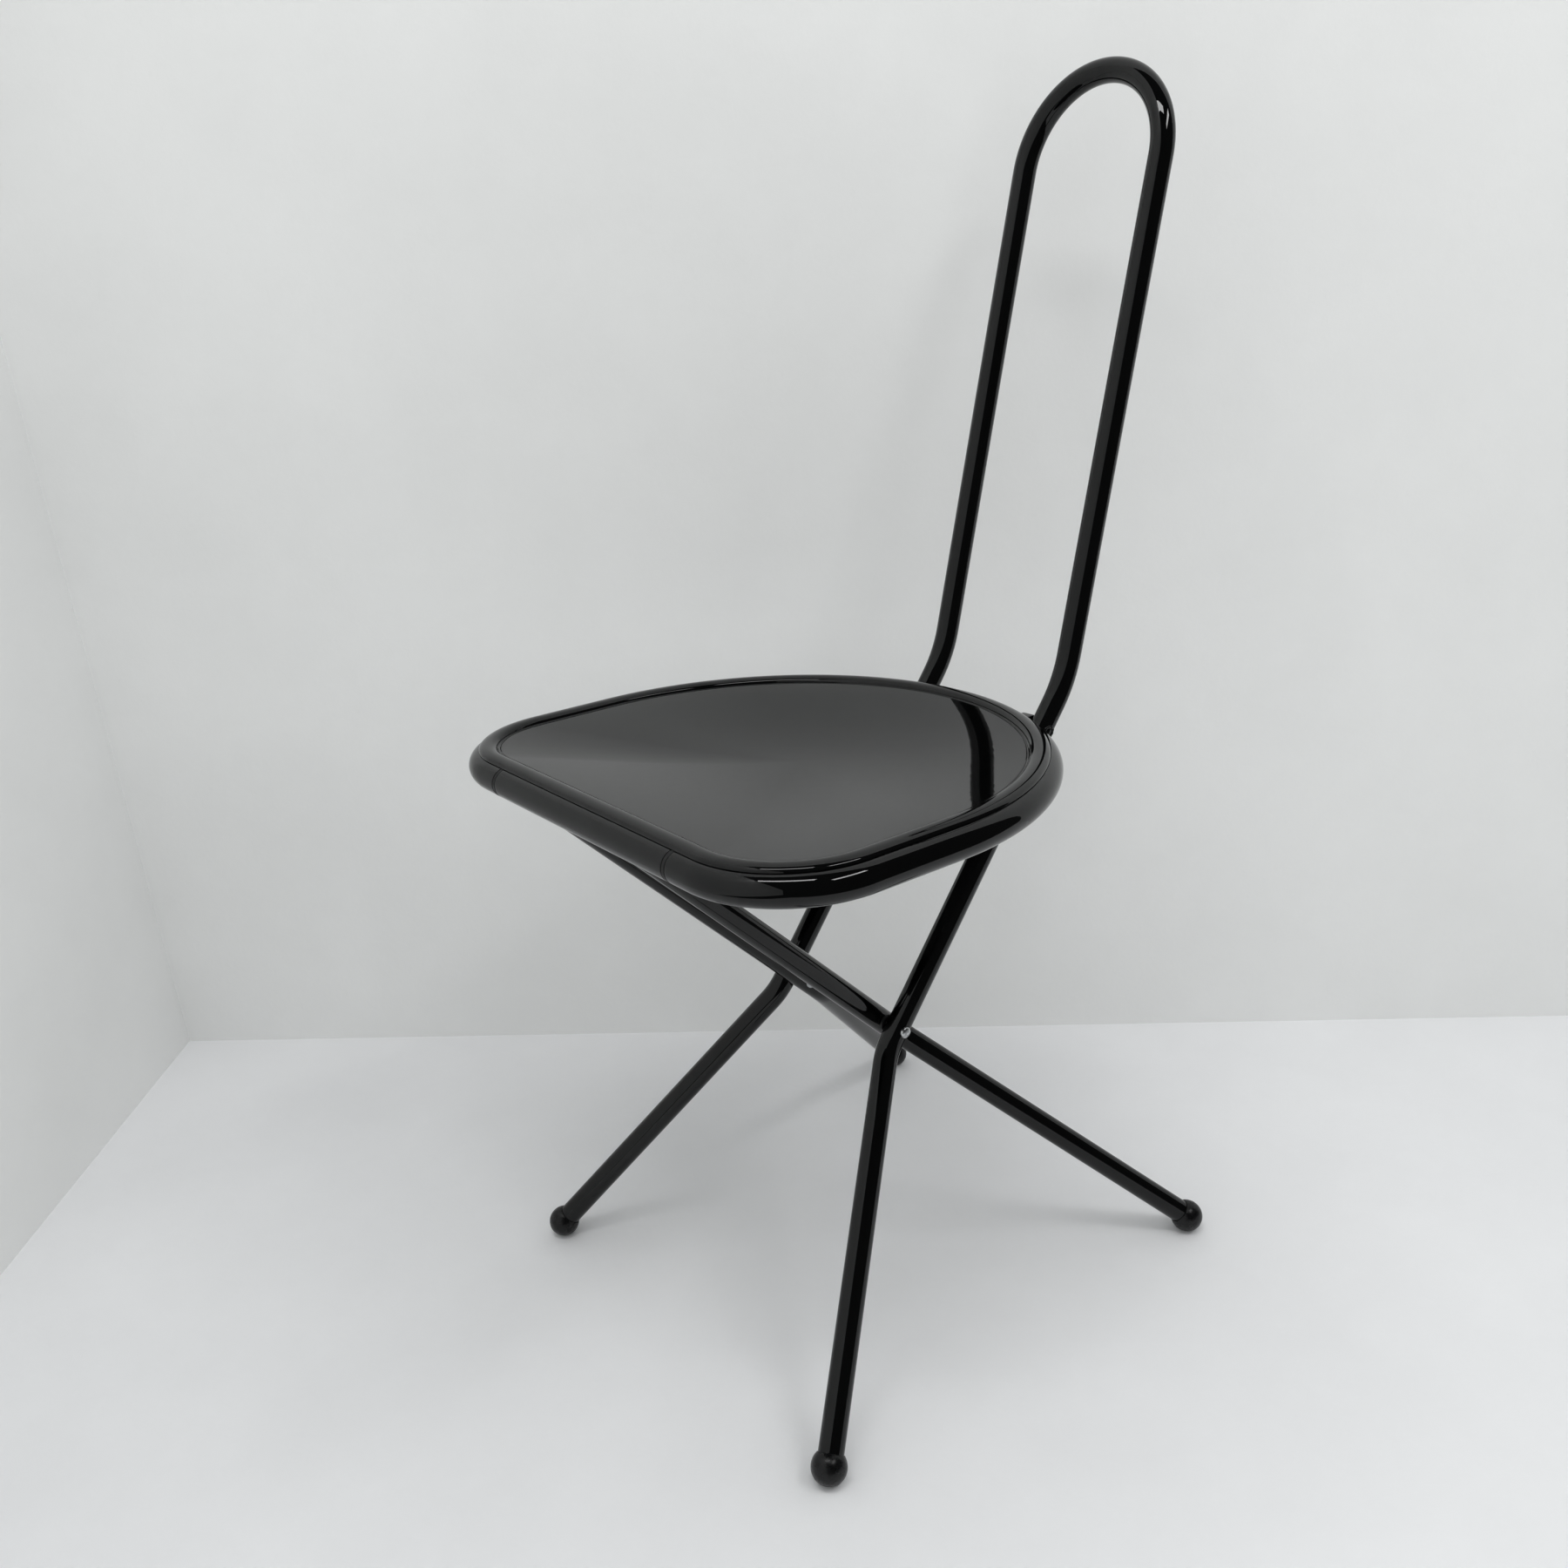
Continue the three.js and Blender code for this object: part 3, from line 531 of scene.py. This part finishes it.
SEAT_TILT = np.radians(2.1)
RING_HALF_WIDTH = 0.2025
RING_DEPTH = 0.3425
RING_CORNER = 0.072


def on_seat(points):
    """Points from the seat's own plane, X across, Y back and Z square to the ring, to the chair."""
    x, y, z = np.moveaxis(np.asarray(points, float), -1, 0)
    c, s = np.cos(SEAT_TILT), np.sin(SEAT_TILT)
    return hinge + np.stack([x, y * c + z * s, z * c - y * s], axis=-1)


ring_corners = [(RING_HALF_WIDTH, 0, 0), (RING_HALF_WIDTH, RING_DEPTH, 0),
                (-RING_HALF_WIDTH, RING_DEPTH, 0), (-RING_HALF_WIDTH, 0, 0)]
ring_bends = [RING_CORNER, RING_HALF_WIDTH, RING_HALF_WIDTH, RING_CORNER]
seat_up = on_seat((0, 0, 1)) - hinge
ring_end = max(abs(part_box("hinge_bush_left")[0].x), abs(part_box("hinge_bush_left")[1].x)) + CLEARANCE
ring_path, ring_ways = bent_axis([(ring_end, 0, 0), *ring_corners, (-ring_end, 0, 0)], ring_bends)
ring_axis = on_seat(ring_path), on_seat(ring_ways) - hinge
finish_piece(tube("ring_tube", ring_axis, seat_up, SEAT_RADIUS),
             "seat", "black_enamel", enamel, "seat_ring_tube")


# -------------------------------------------------------------------------------------- seat pan
# One sheet of 1.2 mm steel, pressed to a bead that stands on the ring, a fine groove inside it
# and a shallow dish. Studs welded underneath hold it to tabs inside the ring.

PAN_SHEET = 0.0012
PAN_SEAT = 0.0112
BEAD_HEIGHT = 0.0038
BEAD_HALF_WIDTH = 0.007
BEAD_MIDDLE = 0.0045
DISH_START = 0.014
DISH_DROP = 0.0004
DISH_DEPTH = 0.0155
DISH_MIDDLE = 0.181
DISH_EASING = 0.35
GROOVE_DEPTH = 0.0007

loop_path, loop_ways = bent_axis([(0, 0, 0), *ring_corners, (0, 0, 0)], ring_bends)
loop_path, loop_ways = loop_path[:-1], loop_ways[:-1]
loop_inward = np.cross(UP, loop_ways)
dish_centre = np.array([0, DISH_MIDDLE, 0])


def inset_loops(insets, heights):
    """The ring's own line moved inwards by each inset, and up to each height."""
    insets, heights = np.asarray(insets)[:, None, None], np.asarray(heights)[:, None, None]
    return loop_path + insets * loop_inward + heights * UP


def dish_loops(scales, drop):
    """The dish's edge drawn in towards its middle. The height rises as the square of the distance
    from the middle, less a share of the fourth power, which eases the slope at the edge."""
    scales = np.asarray(scales)[:, None, None]
    out = loop_path + DISH_START * loop_inward - dish_centre
    risen = (1 + DISH_EASING) * scales ** 2 - DISH_EASING * scales ** 4
    height = PAN_SEAT - DISH_DROP - DISH_DEPTH * (1 - risen) - drop
    return dish_centre + scales * out + height * UP


def pan_rows():
    """Top from the middle out: dish, groove, half an ellipse of bead. Then the underside back in."""
    scales = np.sin(np.linspace(0.04, np.pi / 2, 30))
    across = np.linspace(0, np.pi, 25)
    groove = np.linspace(0, 1, 7)[1:-1]
    foot = BEAD_MIDDLE + BEAD_HALF_WIDTH
    groove_at = DISH_START + (foot - DISH_START) * groove
    groove_height = PAN_SEAT - DISH_DROP * (1 - groove) - GROOVE_DEPTH * np.sin(np.pi * groove)
    half, high = BEAD_HALF_WIDTH - PAN_SHEET, BEAD_HEIGHT - PAN_SHEET
    top = [dish_loops(scales, 0), inset_loops(groove_at, groove_height),
           inset_loops(BEAD_MIDDLE + BEAD_HALF_WIDTH * np.cos(across),
                       PAN_SEAT + BEAD_HEIGHT * np.sin(across))]
    under = [inset_loops(BEAD_MIDDLE + half * np.cos(across), PAN_SEAT + high * np.sin(across)),
             dish_loops(scales, PAN_SHEET)]
    return np.concatenate(top + [loops[::-1] for loops in under])


middle_height = PAN_SEAT - DISH_DROP - DISH_DEPTH
poles = [on_seat(dish_centre + UP * height) for height in (middle_height, middle_height - PAN_SHEET)]
pan = surface("pan", on_seat(pan_rows()), *poles)
finish_piece(pan, "seat", "black_enamel", enamel, "seat_pan")


# ----------------------------------------------------------------------------------- latch hooks
# Two straps of 12 by 4 mm flat steel welded behind the ring. Each lies over the latch rod and
# turns down behind it, and lifts off it when the seat is folded.

HOOK_AT = 0.050
HOOK_WIDTH = 0.012
HOOK_THICKNESS = 0.004
HOOK_BEND = 0.0025
HOOK_CLEARANCE = 0.0005
HOOK_STRAP = 0.0135
HOOK_LIP = 0.0025
HOOK_EASE = 0.0008
HOOK_BLUNT = 0.0004


def flat_section(width, thickness, ease):
    """A flat bar's section: a rectangle with quarter round corners."""
    quarters = []
    for k, (x, y) in enumerate([(1, 1), (-1, 1), (-1, -1), (1, -1)]):
        centre = (x * (width / 2 - ease), y * (thickness / 2 - ease))
        quarters.append(arc(centre, ease, k * np.pi / 2, (k + 1) * np.pi / 2, 6))
    return np.concatenate(quarters)


seat_rod = rod_at - hinge
c, s = np.cos(SEAT_TILT), np.sin(SEAT_TILT)
rod_y, rod_z = seat_rod[1] * c - seat_rod[2] * s, seat_rod[1] * s + seat_rod[2] * c
line = ROD_RADIUS + HOOK_CLEARANCE + HOOK_THICKNESS / 2
for side, sign in SIDES.items():
    x = sign * HOOK_AT
    corners = [(x, rod_y - HOOK_STRAP, rod_z + line), (x, rod_y + line, rod_z + line),
               (x, rod_y + line, rod_z - HOOK_LIP)]
    points, ways = bent_axis(corners, [HOOK_BEND], np.radians(6), 0.004)
    section = flat_section(HOOK_WIDTH, HOOK_THICKNESS, HOOK_EASE)
    between = np.array([0, 0.7, 0.7])
    tip = points[-1:] + ways[-1:] * HOOK_BLUNT
    blunt = carried(tip, ways[-1:], between, section * 0.8)
    rows = np.concatenate([carried(points, ways, between, section), blunt])
    hook = surface(f"hook_{side}", on_seat(rows), on_seat(points[0]), on_seat(tip[0]))
    finish_piece(hook, "seat", "black_enamel", enamel, f"latch_hook_{side}")


# ----------------------------------------------------------------------------------- pan fixings
# Four tabs of 2 mm steel are welded inside the ring. An M4 stud under the pan passes through each
# and a zinc plated nut holds it. All of it is hidden under the seat.

TAB_WIDTH = 0.020
TAB_THICKNESS = 0.002
TAB_DROP = 0.0042
TAB_INWARD = 0.010
TAB_OUTWARD = 0.0155
TAB_CORNER = 0.005
STUD_INSET = 0.023
STUD_RADIUS = 0.002
STUD_LENGTH = 0.012
STUD_BASE = 0.004
STUD_BASE_HEIGHT = 0.001
THREAD_PITCH = 0.0007
THREAD_DEPTH = 0.0003
NUT_FLATS = 0.0035
NUT_HEIGHT = 0.0032
SIDE_TAB_Y = RING_CORNER + 0.020
REAR_TAB_ANGLE = np.radians(62)

rear_tab = (RING_HALF_WIDTH * np.cos(REAR_TAB_ANGLE),
            RING_DEPTH - RING_HALF_WIDTH * (1 - np.sin(REAR_TAB_ANGLE)))
tab_places = {
    "side_left": (RING_HALF_WIDTH, SIDE_TAB_Y, 0),
    "rear_left": (*rear_tab, REAR_TAB_ANGLE),
    "rear_right": (-rear_tab[0], rear_tab[1], np.pi - REAR_TAB_ANGLE),
    "side_right": (-RING_HALF_WIDTH, SIDE_TAB_Y, np.pi),
}


def tab_rows():
    """A flat strap from inside the ring's wall to a free end with round corners, edges eased.
    Each row is the same outline, drawn in by the ease at the two faces."""
    ease = 0.0003
    start, end, half = TAB_OUTWARD, -TAB_INWARD, TAB_WIDTH / 2
    corner = TAB_CORNER
    outline = np.concatenate([
        [(start, half)], arc((end + corner, half - corner), corner, np.pi / 2, np.pi, 9),
        arc((end + corner, corner - half), corner, np.pi, 3 * np.pi / 2, 9), [(start, -half)]])
    middle = np.array([(start + end) / 2, 0])
    heights = -TAB_DROP - np.array([0, ease, TAB_THICKNESS - ease, TAB_THICKNESS])
    grow = np.array([1 - ease / half, 1, 1, 1 - ease / half])
    flat = middle + grow[:, None, None] * (outline - middle)
    return np.concatenate([flat, np.broadcast_to(heights[:, None, None], (4, len(outline), 1))], axis=2)


def stud_rows():
    """An M4 thread: the radius rises and falls once in each pitch, and the crest climbs one pitch
    in a turn. A flat weld base is at the top."""
    angle = np.linspace(0, 2 * np.pi, 24, endpoint=False)
    height = np.linspace(-STUD_LENGTH, -STUD_BASE_HEIGHT - 0.0003, 64)[:, None]
    wave = np.cos(2 * np.pi * height / THREAD_PITCH - angle)
    radius = STUD_RADIUS - THREAD_DEPTH / 2 * (1 - wave)
    radius = np.concatenate([radius[:1] * 0.8, radius, np.full((2, 24), STUD_BASE)])
    height = np.concatenate([height[:1] - 0.0002, height, [[-STUD_BASE_HEIGHT], [0.0001]]])
    return np.stack([radius * np.cos(angle), radius * np.sin(angle), np.broadcast_to(height, radius.shape)],
                    axis=-1)


def nut_rows():
    """A hexagon whose corners are chamfered by a cone at both faces. The flat's distance over the
    cosine of the angle from its middle is the hexagon's radius."""
    angle = np.linspace(0, 2 * np.pi, 72, endpoint=False)
    hexagon = NUT_FLATS / np.cos((angle + np.pi / 6) % (np.pi / 3) - np.pi / 6)
    top = -TAB_DROP - TAB_THICKNESS - 0.0001
    depth = np.array([0, 0.0003, 0.0006, NUT_HEIGHT - 0.0006, NUT_HEIGHT - 0.0003, NUT_HEIGHT])[:, None]
    cone = NUT_FLATS + np.minimum(depth, NUT_HEIGHT - depth) * 1.7
    radius = np.minimum(hexagon, cone)
    height = np.broadcast_to(top - depth, radius.shape)
    return np.stack([radius * np.cos(angle), radius * np.sin(angle), height], axis=-1)


pan_skin = BVHTree.FromPolygons([v.co for v in pan.data.vertices], [f.vertices for f in pan.data.polygons])
for place, (x, y, outward) in tab_places.items():
    # The stud's foot is where a line up from below meets the pan, and the set leans to its slope.
    towards_ring = np.array([np.cos(outward), np.sin(outward), 0])
    below = on_seat((x, y, -0.1) - STUD_INSET * towards_ring)
    foot, facing_down, *_ = pan_skin.ray_cast(below, seat_up)
    square = -np.array(facing_down)
    along = on_seat(towards_ring) - hinge
    along = unit(along - square * (along @ square))
    leant = np.stack([along, np.cross(square, along), square])
    for kind, rows, slot, material in (("tab", tab_rows(), "black_enamel", enamel),
                                       ("stud", stud_rows(), "zinc_steel", zinc),
                                       ("nut", nut_rows(), "zinc_steel", zinc)):
        ends = [np.array(foot) + rows[k].mean(axis=0) @ leant for k in (0, -1)]
        fixing = surface(f"{kind}_{place}", np.array(foot) + rows @ leant, *ends)
        finish_piece(fixing, "seat", slot, material, f"pan_{kind}_{place}")


# --------------------------------------------------------------------------------- floor and walls
# A pale painted floor and the two pale walls of a corner close behind the chair, which its gloss
# reflects. None of it is part of the chair, and each is clear when seen from its far side.

FLOOR_PALE = (0.85, 0.855, 0.865, 1)
FLOOR_GREY = (0.81, 0.815, 0.825, 1)
WALL_PALE = (0.84, 0.845, 0.84, 1)
WALL_GREY = (0.80, 0.805, 0.80, 1)
ROOM_SPAN = 6.0
WALL_HEIGHT = 2.6
BACK_WALL = 2.1
FLOOR_FRONT = 0.95


def painted(name, pale, grey):
    """Matt wall paint, a little uneven, that is only there from the side it faces."""
    material, shader, node, links = new_material(name)
    place = node("ShaderNodeTexCoord").outputs["Object"]
    uneven = node("ShaderNodeTexNoise", Vector=place, Scale=3, Detail=6, Roughness=0.6).outputs[0]
    links.new(ramp(node, uneven, 0.35, 0.65, grey, pale), shader.inputs["Base Color"])
    stipple = node("ShaderNodeTexNoise", Vector=place, Scale=160, Detail=3).outputs[0]
    links.new(node("ShaderNodeBump", Height=stipple, Strength=0.15, Distance=0.001).outputs[0],
              shader.inputs["Normal"])
    shader.inputs["Roughness"].default_value = 0.6
    shader.inputs["Specular IOR Level"].default_value = 0.25
    clear = node("ShaderNodeBsdfTransparent").outputs[0]
    behind = node("ShaderNodeNewGeometry").outputs["Backfacing"]
    mixed = node("ShaderNodeMixShader", Fac=behind, i1=shader.outputs[0], i2=clear).outputs[0]
    links.new(mixed, material.node_tree.nodes["Material Output"].inputs["Surface"])
    return material


def plane(name, corner, along, up, material):
    """A rectangle from a corner, which faces the side that along crossed with up points to."""
    mesh = bpy.data.meshes.new(name)
    corner, along, up = (np.array(v, float) for v in (corner, along, up))
    mesh.from_pydata([corner, corner + along, corner + along + up, corner + up], [], [(0, 1, 2, 3)])
    mesh.materials.append(material)
    made = bpy.data.objects.new(name, mesh)
    bpy.context.scene.collection.objects.link(made)


corner_at = np.array([-0.785, -0.387, 0])
back_way = np.array([np.cos(np.radians(45.7)), np.sin(np.radians(45.7)), 0])
left_way = np.array([np.cos(np.radians(-39.5)), np.sin(np.radians(-39.5)), 0])
wall_paint = painted("wall_paint", WALL_PALE, WALL_GREY)
floor_paint = painted("floor_paint", FLOOR_PALE, FLOOR_GREY)
floor_span = ROOM_SPAN + FLOOR_FRONT
plane("floor", (-ROOM_SPAN, -FLOOR_FRONT, 0), (floor_span, 0, 0), (0, floor_span, 0), floor_paint)
plane("back_wall", corner_at, back_way * BACK_WALL, UP * WALL_HEIGHT, wall_paint)
plane("left_wall", corner_at + left_way * ROOM_SPAN, -left_way * ROOM_SPAN, UP * WALL_HEIGHT, wall_paint)


# ------------------------------------------------------------------------------ lights and camera
# Soft light from three ceiling panels over and beside the viewer, and from a pale room all round.
# A little extra contrast keeps the enamel black.

def lamp(name, at, target, size, power):
    """A rectangular soft light at a place, turned towards a target."""
    light = bpy.data.lights.new(name, "AREA")
    light.shape = "RECTANGLE"
    light.size, light.size_y = size
    light.energy = power
    made = bpy.data.objects.new(name, light)
    made.matrix_world = facing(np.array(at, float), np.array(target, float))
    bpy.context.scene.collection.objects.link(made)


def facing(at, target):
    """The placement of something that looks along its own -Z from one point towards another."""
    back = unit(at - target)
    side = unit(np.cross(UP + [1e-4, 0, 0], back))
    turn = Matrix(np.stack([side, np.cross(back, side), back], axis=1)).to_4x4()
    turn.translation = at
    return turn


lamp("ceiling_panel", (0.5, -0.6, 2.5), (0, 0, 0.3), (1.2, 0.25), 9)
lamp("side_panel", (1.6, 0.5, 2.4), (0, 0, 0.4), (1.2, 0.25), 9)
lamp("far_panel", (-0.4, -1.8, 2.5), (0, 0, 0.3), (1.2, 0.25), 7)

# The room gives plenty of even light, but the side behind the viewer is dim in the gloss.
ROOM_LIGHT = 0.76
ROOM_IN_GLOSS = 0.05
world = bpy.data.worlds.new("pale_room")
world.use_nodes = True
nodes, links = world.node_tree.nodes, world.node_tree.links
strength = nodes.new("ShaderNodeMapRange")
strength.inputs["To Min"].default_value = ROOM_LIGHT
strength.inputs["To Max"].default_value = ROOM_IN_GLOSS
links.new(nodes.new("ShaderNodeLightPath").outputs["Is Glossy Ray"], strength.inputs["Value"])
links.new(strength.outputs[0], nodes["Background"].inputs["Strength"])
nodes["Background"].inputs["Color"].default_value = (0.99, 1.0, 1.0, 1)
bpy.context.scene.world = world
bpy.context.scene.view_settings.view_transform = "Standard"
bpy.context.scene.view_settings.exposure = 0.07
bpy.context.scene.view_settings.gamma = 0.87

CAMERA_AT = (0.7908, -0.6631, 0.7761)
CAMERA_YAW = np.radians(54.34)
CAMERA_PITCH = np.radians(20.43)
CAMERA_ROLL = np.radians(-5.49)
CAMERA_LENS = 33.05

camera = bpy.data.objects.new("camera", bpy.data.cameras.new("camera"))
camera.data.lens = CAMERA_LENS
camera.data.sensor_width = 36
camera.data.clip_start = 0.05
level = np.array([np.cos(CAMERA_YAW), np.sin(CAMERA_YAW), 0])
forward = np.array([-np.sin(CAMERA_YAW) * np.cos(CAMERA_PITCH), np.cos(CAMERA_YAW) * np.cos(CAMERA_PITCH),
                    -np.sin(CAMERA_PITCH)])
above = np.cross(level, forward)
right = level * np.cos(CAMERA_ROLL) + above * np.sin(CAMERA_ROLL)
top = above * np.cos(CAMERA_ROLL) - level * np.sin(CAMERA_ROLL)
placed = Matrix(np.stack([right, top, -forward], axis=1)).to_4x4()
placed.translation = CAMERA_AT
camera.matrix_world = placed
bpy.context.scene.collection.objects.link(camera)
bpy.context.scene.camera = camera
